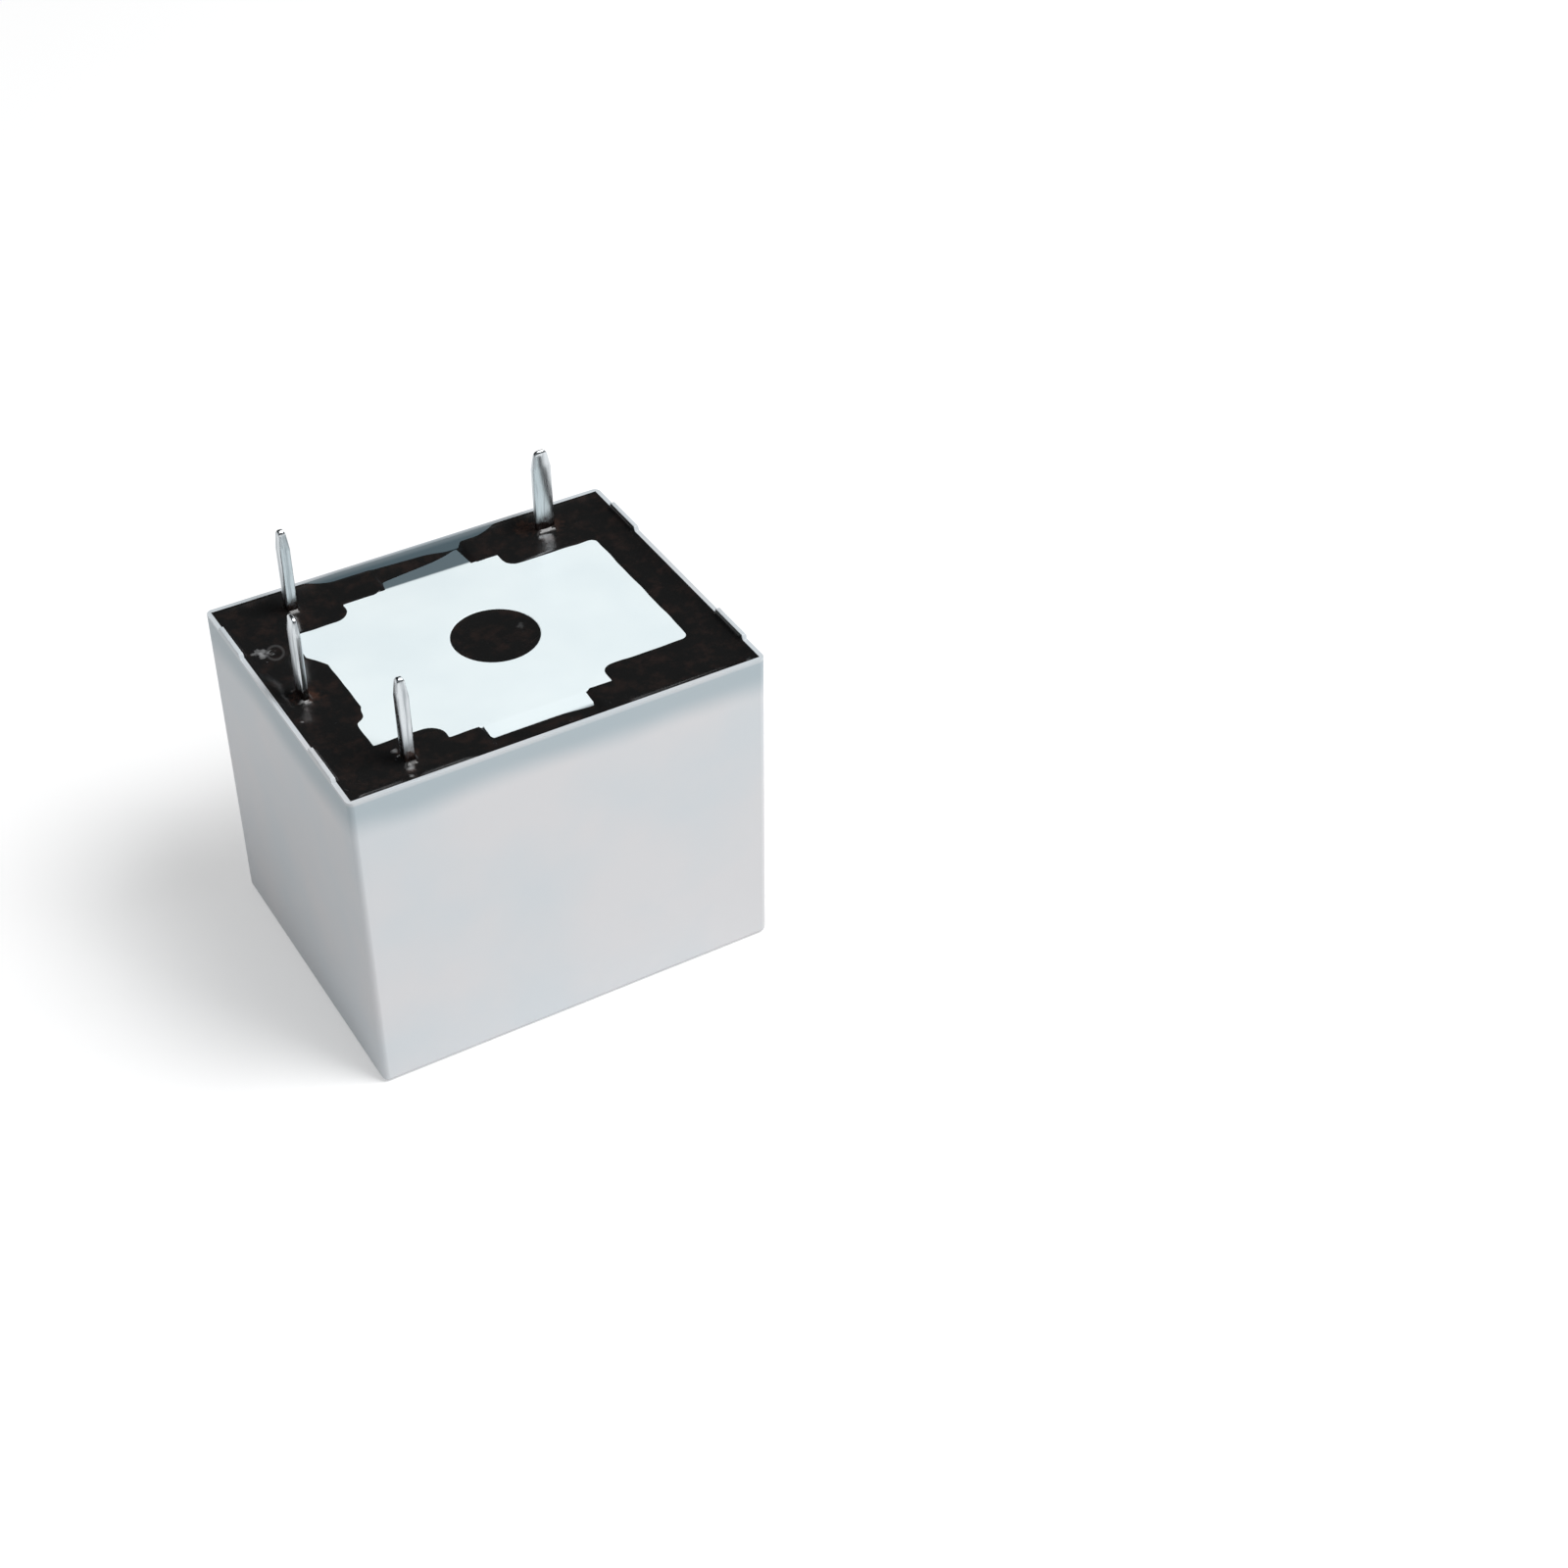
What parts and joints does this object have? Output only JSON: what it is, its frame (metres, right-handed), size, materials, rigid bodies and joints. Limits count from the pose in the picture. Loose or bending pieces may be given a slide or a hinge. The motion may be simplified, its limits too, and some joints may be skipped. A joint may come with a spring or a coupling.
{
  "type": "pcb power relay",
  "caption": "Sealed cube-shaped PCB power relay: white cover potted with black epoxy, flat and square tinned pins, coil, yoke, rocking armature and a normally open contact inside.",
  "frame": {"origin": "centre of the cover's closed top, which the relay stands on with its pins up", "axes": "+X along the long side towards the switched pin, +Y to the back, +Z out of the pin side"},
  "size_m": [0.019, 0.0152, 0.0195],
  "materials": {
    "cover_plastic": "fine satin moulding, off-white",
    "base_plastic": "satin moulding, white",
    "black_epoxy": "glossy cast potting, brownish black",
    "tinned_copper": "bright tin over copper",
    "bobbin_plastic": "satin moulding, black",
    "copper_wire": "enamelled wire",
    "coil_tape": "thin polyester tape",
    "plated_iron": "plated soft iron",
    "spring_bronze": "rolled phosphor bronze",
    "contact_silver": "silver alloy"
  },
  "bodies": {
    "housing": {"cover": "cover_plastic", "base": "base_plastic", "epoxy_seal": "black_epoxy", "core_hole_seal": "black_epoxy", "no_terminal": "tinned_copper", "com_terminal": "tinned_copper", "coil_terminal_front": "tinned_copper", "coil_terminal_back": "tinned_copper", "bobbin": "bobbin_plastic", "coil_winding": "copper_wire", "coil_tape": "coil_tape", "coil_lead_front": "copper_wire", "coil_lead_back": "copper_wire", "core": "plated_iron", "yoke": "plated_iron", "fixed_contact": "contact_silver", "yoke_rivets": "plated_iron"},
    "rocker": {"armature": "plated_iron", "contact_spring": "spring_bronze", "moving_contact": "contact_silver", "armature_rivets": "plated_iron"}
  },
  "joints": [
    {"name": "armature_rock", "type": "hinge", "parent": "housing", "child": "rocker", "pos_m": [-0.0068, 0, 0.0033], "axis": [0, -1, 0], "range_deg": [0, 2.35], "stiffness_Nm_per_rad": 0.002, "springref_deg": -5.73, "deforming": ["contact_spring"]}
  ]
}
